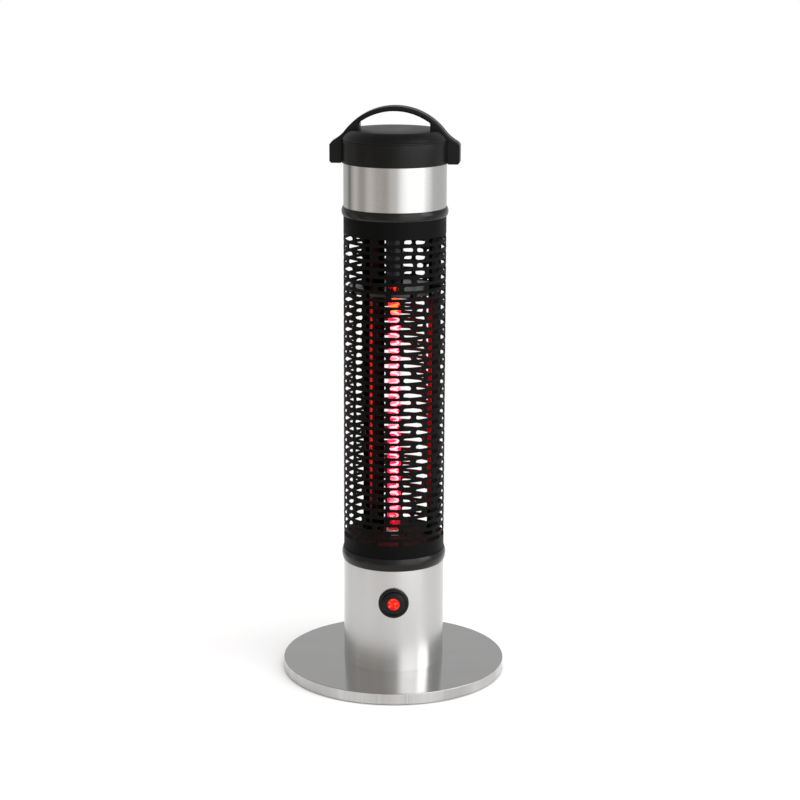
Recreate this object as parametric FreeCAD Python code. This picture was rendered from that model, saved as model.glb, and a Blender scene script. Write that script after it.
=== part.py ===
import FreeCAD, Part
import math
import os

# Electric outdoor heater: a slotted guard tube around one upright quartz lamp, between two
# brushed steel housings, on a round weighted base, with a carrying handle over the top cap.
# Millimetres, +Z up. The origin is the centre of the circle of feet, on the ground.
# The switch is at the front, towards -Y. Angles round the column are measured from the
# front, positive towards +X.

V = FreeCAD.Vector
UP = V(0, 0, 1)
BACK = V(0, 1, 0)

# Driving dimensions
tube_r = 57.15            # outside radius of housings and guard: a 4 1/2 inch tube
sheet_t = 1.0             # their sheet thickness
base_r = 127.0            # a 10 inch base plate
base_top = 13.3
foot_h = 1.7              # height of a rubber foot
rim_lift = 0.8            # gap between the ground and the rim of the base cover
lower_ring_z = (132.5, 146.5)
upper_ring_z = (528.8, 538.6)
cap_bottom = 587.3
cap_seam = 612.0
lid_edge_z = 623.2        # where the flat lid top meets its sloping shoulder
lid_crown_z = 623.9
handle_top = 649.0
ear_reach = 71.7          # how far the two handle ears stand out from the axis
cap_turn_deg = -5.0       # the cap and its handle sit slightly turned on the column

# Guard slots
slot_count = 12
slot_rows = 41
slot_pitch = 8.543        # height from row to row
slot_first_z = 164.7      # centre height of the lowest row
slot_phase_deg = 22.86    # angle of a slot in the lowest row; every other row is half a step on
slot_length = 24.8
slot_width = 4.95

# Fits
slip = 0.05               # clearance between pieces that are pushed together
web_t = 2.0               # web inside each trim ring that the two tubes stand against
ring_bulge = 2.2          # how far a trim ring stands out from the tubes
pan_t = 1.2
floor_z = 160.4           # top of the pan that closes the guard below
ceiling_z = 513.5         # underside of the pan that closes it above
shield_z = 448.6          # middle of the heat shield disc

# Lamp
lamp_r = 7.4
coil_r = 4.7
coil_wire_r = 0.7
coil_pitch = 6.35
coil_z = (179.0, 434.0)
lamp_z = (150.0, 476.0)

# Stays, two half-round gutters: x and y of the gutter's centre, and the angle it opens towards
left_place = (-23.3, 19.8, 0.0)
right_place = (40.0, 7.05, -80.0)
stay_r = 12.0
stay_t = 1.2
stay_screw_y = -5.0       # the screw in each end tab, in front of the gutter's centre
stay_wire = (-3.7, 6.5)   # the lead inside the gutter, to the side of its centre and behind it
small_screw = (1.5, 5.0, 2.8, 1.8)    # shank radius and length, head radius and height
small_hole_r = 1.55

# Power switch, on the front of the lower housing
switch_z = 95.4
bezel_r = 17.2
barrel_r = 14.3
button_r = 13.4
lens_r = 6.9
bezel_front = -60.6
barrel_front = -59.6
button_front = -62.8
lens_front = -63.9

# Screw positions round the column, all at the back
side_screw_angles = (115.0, 180.0, -115.0)
base_screw_angles = (45.0, 135.0, -135.0, -45.0)
base_screw_circle = 38.0
gland_z = 46.0


def save(name, shape):
    """Write one node, and stop if it isn't sound."""
    if not shape.isValid():
        raise ValueError(name + " is not a valid shape")
    shape.exportStep("parts/" + name + ".step")


def polar(radius, angle_deg, z):
    """A point at an angle from the front of the column."""
    a = math.radians(angle_deg)
    return V(radius * math.sin(a), -radius * math.cos(a), z)


def outward(angle_deg):
    return polar(1.0, angle_deg, 0.0)


def rod(radius, z0, z1, x=0.0, y=0.0):
    return Part.makeCylinder(radius, z1 - z0, V(x, y, z0), UP)


def tube(r_out, r_in, z0, z1, x=0.0, y=0.0):
    return rod(r_out, z0, z1, x, y).cut(rod(r_in, z0 - 1, z1 + 1, x, y))


def y_rod(radius, y0, y1, x=0.0, z=0.0):
    return Part.makeCylinder(radius, y1 - y0, V(x, y0, z), BACK)


def y_tube(r_out, r_in, y0, y1, x=0.0, z=0.0):
    return y_rod(r_out, y0, y1, x, z).cut(y_rod(r_in, y0 - 1, y1 + 1, x, z))


def block(x0, x1, y0, y1, z0, z1):
    return Part.makeBox(x1 - x0, y1 - y0, z1 - z0, V(x0, y0, z0))


def turned(points):
    """Revolve a closed outline of (radius, z) points about the column axis."""
    corners = [V(r, 0, z) for r, z in points]
    outline = Part.makePolygon(corners + [corners[0]])
    return Part.Face(outline).revolve(V(0, 0, 0), UP, 360)


def turned_wire(edges):
    return Part.Face(Part.Wire(edges)).revolve(V(0, 0, 0), UP, 360)


def line(a, b):
    return Part.LineSegment(a, b).toShape()


def arc(a, middle, b):
    return Part.Arc(a, middle, b).toShape()


def spun(shape, angle_deg):
    """Turn a copy about the column axis; a positive angle carries the front towards +X."""
    copy = shape.copy()
    copy.rotate(V(0, 0, 0), UP, angle_deg)
    return copy


def drill(shape, radius, inner, outer, places):
    """Radial holes at (angle, z) places."""
    for angle, z in places:
        start = polar(inner, angle, z)
        shape = shape.cut(Part.makeCylinder(radius, outer - inner, start, outward(angle)))
    return shape


def side_places(z):
    return [(angle, z) for angle in side_screw_angles]


def radial_screw(angle, z, seat, shank_r=1.9, length=6.0):
    """A pan-head screw driven towards the axis, its head resting at radius seat."""
    head = Part.makeCylinder(3.6, 2.0, polar(seat, angle, z), outward(angle))
    shank = Part.makeCylinder(shank_r, length, polar(seat - length, angle, z), outward(angle))
    screw = head.fuse(shank)
    slot_cut = Part.makeBox(1.0, 5.0, 1.2, V(-0.5, -2.5, 1.0))
    slot_cut.Placement = FreeCAD.Placement(polar(seat, angle, z),
                                           FreeCAD.Rotation(UP, outward(angle)))
    return screw.cut(slot_cut)


def upright_screw(x, y, z_head, shank_r, length, head_r, head_h, up=True):
    """A screw along Z. Its head's bearing face is at z_head; up means the shank points up."""
    if up:
        head = rod(head_r, z_head - head_h, z_head, x, y)
        shank = rod(shank_r, z_head, z_head + length, x, y)
        cross = block(x - 0.6, x + 0.6, y - head_r * 0.7, y + head_r * 0.7,
                      z_head - head_h, z_head - head_h * 0.5)
    else:
        head = rod(head_r, z_head, z_head + head_h, x, y)
        shank = rod(shank_r, z_head - length, z_head, x, y)
        cross = block(x - 0.6, x + 0.6, y - head_r * 0.7, y + head_r * 0.7,
                      z_head + head_h * 0.5, z_head + head_h)
    return head.fuse(shank).cut(cross)


# ---------------------------------------------------------------- base

cover_t = 1.0
ballast_z = (foot_h + 1.5, base_top - cover_t)
base_screw_head_h = 3.4
base_screw_head_r = 5.4
base_screw_r = 3.0
base_screw_length = 14.0


def base_screw_points():
    return [polar(base_screw_circle, angle, 0) for angle in base_screw_angles]


def base_cover():
    shell = rod(base_r, rim_lift, base_top)
    shell = shell.cut(rod(base_r - cover_t, rim_lift - 1, base_top - cover_t))
    for p in base_screw_points():
        shell = shell.cut(rod(base_screw_r + slip, 0, base_top + 1, p.x, p.y))
    return shell


def base_ballast():
    disc = rod(base_r - cover_t - 0.3, ballast_z[0], ballast_z[1])
    for p in base_screw_points():
        disc = disc.cut(rod(base_screw_r + slip, 0, base_top, p.x, p.y))
        disc = disc.cut(rod(base_screw_head_r + 0.4, 0, ballast_z[0] + base_screw_head_h, p.x, p.y))
    return disc


def base_bottom_plate():
    disc = rod(base_r - cover_t - 0.3, foot_h, ballast_z[0])
    for p in base_screw_points():
        disc = disc.cut(rod(base_screw_head_r + 0.4, 0, base_top, p.x, p.y))
    return disc


def rubber_feet():
    feet = []
    foot_r = 9.0
    for k in range(6):
        p = polar(base_r - 18.0, 30 + 60 * k, 0)
        pad = rod(foot_r, 0, foot_h, p.x, p.y)
        feet.append(pad.makeChamfer(0.5, [e for e in pad.Edges if e.BoundBox.ZMax < 0.01]))
    return Part.makeCompound(feet)


def base_screws():
    z_head = ballast_z[0] + base_screw_head_h
    return Part.makeCompound([upright_screw(p.x, p.y, z_head, base_screw_r, base_screw_length,
                                            base_screw_head_r, base_screw_head_h)
                              for p in base_screw_points()])


# ---------------------------------------------------------------- column shells

flange_t = 2.0
flange_rim_top = 26.0
flange_boss_h = 8.0
housing_screw_z = 20.0


def column_flange():
    """The pan inside the foot of the column that the base screws pull down."""
    r = tube_r - sheet_t - slip
    pan = rod(r, base_top, flange_rim_top)
    pan = pan.cut(rod(r - flange_t, base_top + flange_t, flange_rim_top + 1))
    for p in base_screw_points():
        pan = pan.fuse(rod(7.0, base_top + flange_t, base_top + flange_boss_h, p.x, p.y))
        pan = pan.cut(rod(base_screw_r, base_top - 1, base_top + flange_boss_h + 1, p.x, p.y))
    return drill(pan, 1.9, r - 5, r + 5, side_places(housing_screw_z))


def lower_housing():
    top = lower_ring_z[0] + 5.0
    shell = tube(tube_r, tube_r - sheet_t, base_top, top)
    shell = drill(shell, 2.1, tube_r - 5, tube_r + 5, side_places(housing_screw_z))
    shell = shell.cut(y_rod(barrel_r + 0.2, -70, -40, 0, switch_z))
    return shell.cut(y_rod(8.1, 40, 70, 0, gland_z))


def trim_ring(z0, z1, split):
    """A bulging ring around a joint of two tubes, with an inner web at the split height."""
    lip_r = tube_r + 0.7
    inner_r = tube_r + slip
    edges = [
        line(V(inner_r, 0, z0), V(lip_r, 0, z0)),
        arc(V(lip_r, 0, z0), V(tube_r + ring_bulge, 0, (z0 + z1) / 2), V(lip_r, 0, z1)),
        line(V(lip_r, 0, z1), V(inner_r, 0, z1)),
        line(V(inner_r, 0, z1), V(inner_r, 0, z0)),
    ]
    shell = turned_wire(edges)
    return shell.fuse(tube(inner_r + 0.5, tube_r - 7.0, split, split + web_t))


def lower_trim_ring():
    return trim_ring(lower_ring_z[0], lower_ring_z[1], lower_ring_z[0] + 5.0)


def upper_trim_ring():
    return trim_ring(upper_ring_z[0], upper_ring_z[1], upper_ring_z[0] + 4.0)


guard_z = (lower_ring_z[0] + 5.0 + web_t, upper_ring_z[0] + 4.0)
guard_screw_low = guard_z[0] + 12.5
guard_screw_high = guard_z[1] - 9.0


def slot_cutter():
    """One slot as a straight prism through the front wall: flat sides and blunted ends."""
    half = slot_width / 2
    reach = slot_length / 2 - half
    quarter = [(reach, half), (reach + 0.76 * half, 0.68 * half), (reach + half, 0.2 * half)]
    right = quarter + [(x, -z) for x, z in reversed(quarter)]
    corners = [V(x, 0, z) for x, z in right + [(-x, -z) for x, z in right]]
    prism = Part.Face(Part.makePolygon(corners + [corners[0]])).extrude(V(0, 12, 0))
    prism.translate(V(0, -tube_r - 2.0, 0))
    return prism


def guard_row(start_deg):
    """One ring of the guard, a slot pitch high, with its slots at mid height."""
    ring = tube(tube_r, tube_r - sheet_t, -slot_pitch / 2, slot_pitch / 2)
    cutter = slot_cutter()
    step = 360.0 / slot_count
    cutters = [spun(cutter, start_deg + k * step) for k in range(slot_count)]
    return ring.cut(Part.makeCompound(cutters))


def guard_tube():
    """Two kinds of slotted ring, stacked in turn between two plain ends."""
    half_step = 180.0 / slot_count
    rows = [guard_row(slot_phase_deg), guard_row(slot_phase_deg + half_step)]
    first = slot_first_z - slot_pitch / 2
    last = first + slot_rows * slot_pitch
    low_end = tube(tube_r, tube_r - sheet_t, guard_z[0], first)
    high_end = tube(tube_r, tube_r - sheet_t, last, guard_z[1])
    pieces = [drill(low_end, 2.1, tube_r - 5, tube_r + 5, side_places(guard_screw_low)),
              drill(high_end, 2.1, tube_r - 5, tube_r + 5, side_places(guard_screw_high))]
    for row in range(slot_rows):
        piece = rows[row % 2].copy()
        piece.translate(V(0, 0, slot_first_z + row * slot_pitch))
        pieces.append(piece)
    return pieces[0].multiFuse(pieces[1:])


def upper_housing():
    bottom = upper_ring_z[0] + 4.0 + web_t
    shell = tube(tube_r, tube_r - sheet_t, bottom, cap_bottom + 5.0)
    return drill(shell, 2.1, tube_r - 5, tube_r + 5, side_places(cap_bottom - 9.0))


# ---------------------------------------------------------------- pans, stays and heat shield

pan_r = tube_r - sheet_t - slip
holder_bolt_r = 16.0
holder_bolt_angles = (60.0, 240.0)
wire_hole_r = 2.4


def placed(shape, place):
    """Carry a copy of a shape made round the origin, open to the front, to a stay's place."""
    x, y, open_deg = place
    copy = spun(shape, open_deg)
    copy.translate(V(x, y, 0))
    return copy


def beside_stay(place, side, behind):
    """A point at a distance to the side of a stay's centre and behind it."""
    x, y, open_deg = place
    a = math.radians(open_deg)
    return V(x, y, 0) + V(math.cos(a), math.sin(a), 0) * side - outward(open_deg) * behind


def stay_screw_points():
    return [beside_stay(place, 0.0, stay_screw_y) for place in (left_place, right_place)]


def wire_place():
    """Centre of the return lead, inside the left stay's gutter."""
    return beside_stay(left_place, *stay_wire)


def pan(face_low, face_high, skirt_end):
    """A round plate with a skirt that runs to skirt_end, above or below the plate."""
    z_low = min(face_low, skirt_end)
    z_high = max(face_high, skirt_end)
    skirt = tube(pan_r, pan_r - pan_t, z_low, z_high)
    shape = rod(pan_r, face_low, face_high).fuse(skirt)
    p = wire_place()
    shape = shape.cut(rod(wire_hole_r, face_low - 1, face_high + 1, p.x, p.y))
    for angle in holder_bolt_angles:
        q = polar(holder_bolt_r, angle, 0)
        shape = shape.cut(rod(small_hole_r, face_low - 1, face_high + 1, q.x, q.y))
    for q in stay_screw_points():
        shape = shape.cut(rod(small_hole_r, face_low - 1, face_high + 1, q.x, q.y))
    return shape


def lower_pan():
    shape = pan(floor_z - pan_t, floor_z, guard_z[0])
    shape = shape.cut(rod(lamp_r + 2.1, floor_z - 3, floor_z + 1))
    return drill(shape, 1.9, pan_r - 5, pan_r + 5, side_places(guard_screw_low))


def upper_pan():
    shape = pan(ceiling_z, ceiling_z + pan_t, guard_z[1])
    shape = shape.cut(rod(4.0, ceiling_z - 1, ceiling_z + 3))
    return drill(shape, 1.9, pan_r - 5, pan_r + 5, side_places(guard_screw_high))


def stay(place):
    """A half-round gutter with a screw tab folded in at each end."""
    gutter = tube(stay_r, stay_r - stay_t, floor_z, ceiling_z)
    shape = gutter.common(block(-stay_r, stay_r, 0, stay_r, floor_z, ceiling_z))
    tab_half = 7.0
    for z0 in (floor_z, ceiling_z - stay_t):
        tab = rod(stay_r - stay_t / 2, z0, z0 + stay_t)
        tab = tab.common(block(-tab_half, tab_half, -7.0, stay_r, z0, z0 + stay_t))
        tab = tab.cut(rod(small_hole_r, z0 - 1, z0 + 3, 0, stay_screw_y))
        tab = tab.cut(rod(wire_hole_r, z0 - 1, z0 + 3, *stay_wire))
        shape = shape.fuse(tab)
    return placed(shape, place)


def stay_screws():
    screws = []
    for q in stay_screw_points():
        screws.append(upright_screw(q.x, q.y, floor_z - pan_t, *small_screw, up=True))
        screws.append(upright_screw(q.x, q.y, ceiling_z + pan_t, *small_screw, up=False))
    return Part.makeCompound(screws)


def heat_shield():
    """A dished disc above the glowing length, notched for the two stays."""
    shield_r = 52.5
    disc = rod(shield_r, shield_z - 0.5, shield_z + 0.5)
    disc = disc.fuse(tube(shield_r, shield_r - 1.0, shield_z - 4.0, shield_z + 0.5))
    disc = disc.cut(rod(lamp_r + 1.4, shield_z - 2, shield_z + 2))
    for x, y, open_deg in (left_place, right_place):
        disc = disc.cut(rod(stay_r + 0.1, shield_z - 6, shield_z + 2, x, y))
    return disc


def shield_clips():
    """Two small angle clips that carry the shield on the open edges of the stays."""
    top = shield_z - 0.5
    foot = block(-3.0, 3.0, -14.5, -0.1, top - 1.0, top)
    side = block(-stay_r - 1.8, stay_r + 1.8, -1.1, -0.1, top - 7.5, top)
    clip = foot.fuse(side)
    return Part.makeCompound([placed(clip, left_place), placed(clip, right_place)])


# ---------------------------------------------------------------- lamp

lamp_end_r = 8.6          # radius of the ceramic lamp ends
lower_cap_z = (142.0, 166.0)
upper_cap_z = (458.0, 484.0)
holder_wall = 1.0
holder_flange_t = 1.2
holder_flange_r = 20.0
lower_holder_z = (140.0, floor_z - pan_t)
upper_holder_z = (452.0, ceiling_z)


def quartz_tube():
    outer = rod(lamp_r, lamp_z[0], lamp_z[1])
    return outer.cut(rod(lamp_r - 1.1, lamp_z[0] + 6.0, lamp_z[1] - 6.0))


def heating_coil():
    """The wound filament's outer form, ridged at the pitch of its turns."""
    turns = round((coil_z[1] - coil_z[0]) / coil_pitch)
    root_r = coil_r - coil_wire_r
    crest_r = coil_r + coil_wire_r
    outline = [(0, coil_z[0]), (root_r, coil_z[0])]
    for k in range(turns):
        outline.append((crest_r, coil_z[0] + (k + 0.5) * coil_pitch))
        outline.append((root_r, coil_z[0] + (k + 1) * coil_pitch))
    outline.append((0, outline[-1][1]))
    return turned(outline)


def lamp_cap(z0, z1, mouth_up):
    """A ceramic end: a cup over the end of the quartz tube."""
    cup = rod(lamp_end_r, z0, z1)
    if mouth_up:
        return cup.cut(rod(lamp_r + slip, lamp_z[0], z1 + 1))
    return cup.cut(rod(lamp_r + slip, z0 - 1, lamp_z[1]))


def lower_lamp_cap():
    return lamp_cap(*lower_cap_z, True)


def upper_lamp_cap():
    return lamp_cap(*upper_cap_z, False)


def holder_flange(z1):
    z0 = z1 - holder_flange_t
    flange = rod(holder_flange_r, z0, z1)
    for angle in holder_bolt_angles:
        q = polar(holder_bolt_r, angle, 0)
        flange = flange.cut(rod(small_hole_r, z0 - 1, z1 + 1, q.x, q.y))
    return flange


def lower_lamp_holder():
    """A cup hung under the lower pan, with a small hole for the lead."""
    z0, z1 = lower_holder_z
    bore_r = lamp_end_r + slip
    cup = rod(bore_r + holder_wall, z0, z1).fuse(holder_flange(z1))
    cup = cup.cut(rod(bore_r, z0 + 2.0, z1 + 1))
    return cup.cut(rod(2.2, z0 - 1, z1))


def upper_lamp_holder():
    """A long cup under the upper pan that steadies the top of the lamp."""
    z0, z1 = upper_holder_z
    bore_r = lamp_end_r + slip
    cup = rod(bore_r + holder_wall, z0, z1).fuse(holder_flange(z1))
    cup = cup.cut(rod(bore_r, z0 - 1, z1 - 20.0))
    return cup.cut(rod(3.0, z0, z1 + 1))


def holder_screws():
    screws = []
    for angle in holder_bolt_angles:
        q = polar(holder_bolt_r, angle, 0)
        screws.append(upright_screw(q.x, q.y, lower_holder_z[1] - holder_flange_t, *small_screw, up=True))
        screws.append(upright_screw(q.x, q.y, ceiling_z + pan_t, *small_screw, up=False))
    return Part.makeCompound(screws)


# ---------------------------------------------------------------- leads

lead_r = 1.9
block_z = (60.0, 74.0)
terminal_x = (-12.0, -4.0, 4.0, 12.0)
terminal_y = 24.0
terminal_screw_z = block_z[0] + 6.0


def lead(points, bend_r):
    """A round lead along straight runs joined by tangent arcs."""
    edges = []
    start = points[0]
    for i in range(1, len(points) - 1):
        p = points[i]
        a = (points[i - 1] - p).normalize()
        b = (points[i + 1] - p).normalize()
        half = a.getAngle(b) / 2
        cut_back = bend_r / math.tan(half)
        middle_way = bend_r / math.sin(half) - bend_r
        axis = (a + b).normalize()
        first = p + a * cut_back
        last = p + b * cut_back
        edges.append(line(start, first))
        edges.append(arc(first, p + axis * middle_way, last))
        start = last
    edges.append(line(start, points[-1]))
    direction = (points[1] - points[0]).normalize()
    section = Part.Wire(Part.makeCircle(lead_r, points[0], direction))
    return Part.Wire(edges).makePipeShell([section], True, False)


def return_lead():
    """From the upper lamp end over the ceiling, down the left stay's gutter, to the terminals."""
    w = wire_place()
    over = ceiling_z + pan_t + 5.0
    points = [V(0, 0, upper_cap_z[1]), V(0, 0, over), V(w.x, w.y, over), V(w.x, w.y, 116.0),
              V(terminal_x[0], terminal_y, 94.0), V(terminal_x[0], terminal_y, block_z[1] - 1.0)]
    return lead(points, 4.0)


def lamp_lead():
    """From the lower lamp end down to the terminal block."""
    x = terminal_x[1]
    return lead([V(0, 0, lower_cap_z[0]), V(0, 0, 118.0), V(x, terminal_y, 96.0),
                 V(x, terminal_y, block_z[1] - 1.0)], 8.0)


def switch_leads():
    leads = []
    for x, x_end in zip(blade_x, terminal_x[2:]):
        points = [V(x, body_back + 5.0, switch_z), V(x, -8.0, switch_z),
                  V(x_end, terminal_y, 88.0), V(x_end, terminal_y, block_z[1] - 1.0)]
        leads.append(lead(points, 4.0))
    return Part.makeCompound(leads)


# ---------------------------------------------------------------- terminal block

bracket_half = 18.5


def terminal_bracket():
    """A folded bracket that stands on the flange behind the lamp."""
    foot_z = base_top + flange_t
    foot = block(-bracket_half, bracket_half, 17.5, 30.0, foot_z, foot_z + 1.5)
    web = block(-bracket_half, bracket_half, 30.0, 31.5, foot_z, block_z[0])
    shelf = block(-bracket_half, bracket_half, 17.0, 31.5, block_z[0] - 1.5, block_z[0])
    window = y_rod(11.0, 25, 40, 0, gland_z)
    return foot.fuse(web).fuse(shelf).cut(window)


def terminal_block():
    """A ceramic block with one clamping way for each lead."""
    body = block(-17.0, 17.0, 18.0, 31.0, block_z[0], block_z[1] - 1.0)
    for x in terminal_x:
        body = body.cut(y_rod(1.5, 17, 22.0, x, terminal_screw_z))
    for x in (-8.0, 0.0, 8.0):
        body = body.cut(block(x - 0.6, x + 0.6, 17, 32, block_z[0] + 9.0, block_z[1]))
    return body


def terminal_screws():
    return Part.makeCompound([y_rod(1.5, 17.0, 21.0, x, terminal_screw_z) for x in terminal_x])


# ---------------------------------------------------------------- power switch

bezel_back = -50.0
nut_y = (-52.4, -48.4)
barrel_floor = -54.2
body_back = -32.0
blade_x = (-5.0, 5.0)
head_back = barrel_front + 0.9    # the back of the button's head, at rest


def switch_bezel():
    """The collar round the button. Its back is hollowed to sit on the round housing."""
    collar = y_rod(bezel_r, bezel_front, bezel_back, 0, switch_z)
    rim = [e for e in collar.Edges if e.BoundBox.YMax < bezel_front + 0.01]
    collar = collar.makeFillet(1.6, rim)
    collar = collar.cut(y_rod(barrel_r, -70, -40, 0, switch_z))
    return collar.cut(rod(tube_r, switch_z - 30, switch_z + 30))


def switch_body():
    barrel = y_rod(barrel_r, barrel_front, body_back, 0, switch_z)
    barrel = barrel.cut(y_rod(button_r + 0.2, -70, barrel_floor, 0, switch_z))
    return barrel.cut(y_rod(5.2, -60, -44.0, 0, switch_z))


def indicator_lamp():
    """The small neon inside the hollow button stem, fixed to the switch body."""
    stalk = y_rod(2.2, -55.6, -44.0, 0, switch_z)
    front = [e for e in stalk.Edges if e.BoundBox.YMax < -55.5]
    return stalk.makeFillet(1.2, front)


def switch_nut():
    """A six-sided ring nut on the barrel, inside the housing."""
    corners = []
    for k in range(7):
        a = math.radians(60 * k)
        corners.append(V(17.6 * math.cos(a), nut_y[0], switch_z + 17.6 * math.sin(a)))
    prism = Part.Face(Part.makePolygon(corners)).extrude(V(0, nut_y[1] - nut_y[0], 0))
    return prism.cut(y_rod(barrel_r, -70, -40, 0, switch_z))


def switch_terminals():
    blades = []
    for x in blade_x:
        blades.append(block(x - 0.4, x + 0.4, body_back, body_back + 5.0,
                            switch_z - 3.1, switch_z + 3.1))
    return Part.makeCompound(blades)


def power_button():
    """A domed black button with a hollow stem and a seat for its lens."""
    crown = 1.2
    edges = [
        line(V(0, head_back, 0), V(button_r, head_back, 0)),
        line(V(button_r, head_back, 0), V(button_r, button_front + crown, 0)),
        arc(V(button_r, button_front + crown, 0), V(button_r - 3.2, button_front + 0.3, 0),
            V(lens_r + 0.8, button_front, 0)),
        line(V(lens_r + 0.8, button_front, 0), V(0, button_front, 0)),
        line(V(0, button_front, 0), V(0, head_back, 0)),
    ]
    head = Part.Face(Part.Wire(edges)).revolve(V(0, 0, 0), BACK, 360)
    head.translate(V(0, 0, switch_z))
    stem = y_rod(5.1, head_back, -48.0, 0, switch_z)
    shape = head.fuse(stem)
    shape = shape.cut(y_rod(lens_r, -70, button_front + 2.0, 0, switch_z))
    return shape.cut(y_rod(3.2, -70, -40, 0, switch_z))


def button_lens():
    seat = button_front + 2.0
    flat_r = 2.0
    middle = V(lens_r * 0.66, lens_front + 0.3, 0)
    edges = [
        line(V(0, seat, 0), V(lens_r - slip, seat, 0)),
        line(V(lens_r - slip, seat, 0), V(lens_r - slip, button_front - 0.1, 0)),
        arc(V(lens_r - slip, button_front - 0.1, 0), middle, V(flat_r, lens_front, 0)),
        line(V(flat_r, lens_front, 0), V(0, lens_front, 0)),
        line(V(0, lens_front, 0), V(0, seat, 0)),
    ]
    lens = Part.Face(Part.Wire(edges)).revolve(V(0, 0, 0), BACK, 360)
    lens.translate(V(0, 0, switch_z))
    return lens


def button_spring():
    """The turns of a short compression spring between button head and barrel floor, as rings."""
    wire_r = 0.4
    spring_r = 8.0
    low = head_back + wire_r
    high = barrel_floor - wire_r
    turns = 4
    rings = []
    for k in range(turns):
        y = low + (high - low) * k / (turns - 1)
        rings.append(Part.makeTorus(spring_r, wire_r, V(0, y, switch_z), BACK))
    return Part.makeCompound(rings)


# ---------------------------------------------------------------- tip-over switch

tip_x = 27.0
tip_y = -6.0
tip_pivot_z = 62.0
tip_floor = base_top + flange_t
pin_r = 1.0


def tip_switch_case():
    """An open-fronted case on the flange. Its two cheeks hold the pendulum's pin."""
    outer = block(tip_x - 15, tip_x + 15, tip_y - 9, tip_y + 9, tip_floor, tip_pivot_z + 6)
    inner = block(tip_x - 13.4, tip_x + 13.4, tip_y - 7, tip_y + 7, tip_floor + 2, tip_pivot_z + 4)
    mouth = block(tip_x - 11, tip_x + 11, tip_y - 20, tip_y, tip_floor + 8, tip_pivot_z - 6)
    case = outer.cut(inner).cut(mouth)
    return case.cut(y_rod(pin_r, tip_y - 20, tip_y + 20, tip_x, tip_pivot_z))


def tip_pin():
    return y_rod(pin_r, tip_y - 9.8, tip_y + 9.8, tip_x, tip_pivot_z)


def tip_pendulum():
    """A weight on a flat arm that hangs from the pin and swings when the heater leans."""
    arm = block(tip_x - 1.5, tip_x + 1.5, tip_y - 1.5, tip_y + 1.5, 32.0, tip_pivot_z)
    hub = y_rod(3.0, tip_y - 3.0, tip_y + 3.0, tip_x, tip_pivot_z)
    bob = y_rod(5.0, tip_y - 5.0, tip_y + 5.0, tip_x, 30.0)
    shape = arm.fuse(hub).fuse(bob)
    return shape.cut(y_rod(pin_r + slip, tip_y - 20, tip_y + 20, tip_x, tip_pivot_z))


def tip_contact_block():
    """The snap switch that the pendulum works, on the side of the case."""
    return block(tip_x + 15, tip_x + 21, tip_y - 7, tip_y + 7, 40.0, 58.0)


# ---------------------------------------------------------------- cord gland

def hex_prism_y(across_flats, y0, y1, z):
    r = across_flats / math.sqrt(3)
    corners = []
    for k in range(7):
        a = math.radians(60 * k)
        corners.append(V(r * math.cos(a), y0, z + r * math.sin(a)))
    return Part.Face(Part.makePolygon(corners)).extrude(V(0, y1 - y0, 0))


gland_bore_r = 3.6
gland_seal_r = 5.4


def cable_gland():
    """Body through the wall with an outer hexagon, hollowed at the back to sit on the tube."""
    stem = y_rod(8.0, 46.0, 62.0, 0, gland_z)
    collar = hex_prism_y(19.0, 50.0, 62.0, gland_z)
    collar = collar.cut(rod(tube_r, gland_z - 20, gland_z + 20))
    shape = stem.fuse(collar)
    return shape.cut(y_rod(gland_seal_r, 40, 70, 0, gland_z))


def gland_dome_nut():
    """The clamping nut outside, rounded towards the cord."""
    edges = [
        line(V(gland_seal_r, 62.0, 0), V(9.5, 62.0, 0)),
        line(V(9.5, 62.0, 0), V(9.5, 67.0, 0)),
        arc(V(9.5, 67.0, 0), V(8.2, 70.6, 0), V(5.0, 72.0, 0)),
        line(V(5.0, 72.0, 0), V(gland_bore_r + 0.2, 72.0, 0)),
        line(V(gland_bore_r + 0.2, 72.0, 0), V(gland_bore_r + 0.2, 70.0, 0)),
        line(V(gland_bore_r + 0.2, 70.0, 0), V(gland_seal_r, 70.0, 0)),
        line(V(gland_seal_r, 70.0, 0), V(gland_seal_r, 62.0, 0)),
    ]
    nut = Part.Face(Part.Wire(edges)).revolve(V(0, 0, 0), BACK, 360)
    nut.translate(V(0, 0, gland_z))
    for k in range(12):
        a = math.radians(30 * k)
        flute = y_rod(0.8, 61.0, 67.5, 9.9 * math.cos(a), gland_z + 9.9 * math.sin(a))
        nut = nut.cut(flute)
    return nut


def gland_seal():
    return y_tube(gland_seal_r, gland_bore_r, 52.0, 70.0, 0, gland_z)


def gland_lock_nut():
    nut = hex_prism_y(20.0, 48.6, 52.6, gland_z)
    return nut.cut(y_rod(8.0, 40, 70, 0, gland_z))


# ---------------------------------------------------------------- cap and handle

cap_wall = 2.4            # wall of the lid
cap_r_out = tube_r + 2.5
lid_flat_r = 50.0
lid_wall_top = cap_seam + 1.0
cap_floor_z = cap_bottom + 5.0
cap_screw_circle = 40.0
handle_half_width = 11.0
handle_circle_z = 579.0
handle_hole_z = 578.6
handle_hole_r = 65.2
handle_hole_half = 39.0
handle_screw_z = 600.2
handle_screw_spread = 6.0    # degrees from the middle of an ear to each of its screws


def handle_screw_places():
    """Two screws into each ear, side by side."""
    places = []
    for ear_angle in (-90.0, 90.0):
        for spread in (-handle_screw_spread, handle_screw_spread):
            places.append((ear_angle + spread + cap_turn_deg, handle_screw_z))
    return places


def cap_screw_points():
    return [polar(cap_screw_circle, 45 + 90 * k + cap_turn_deg, 0) for k in range(4)]


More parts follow.
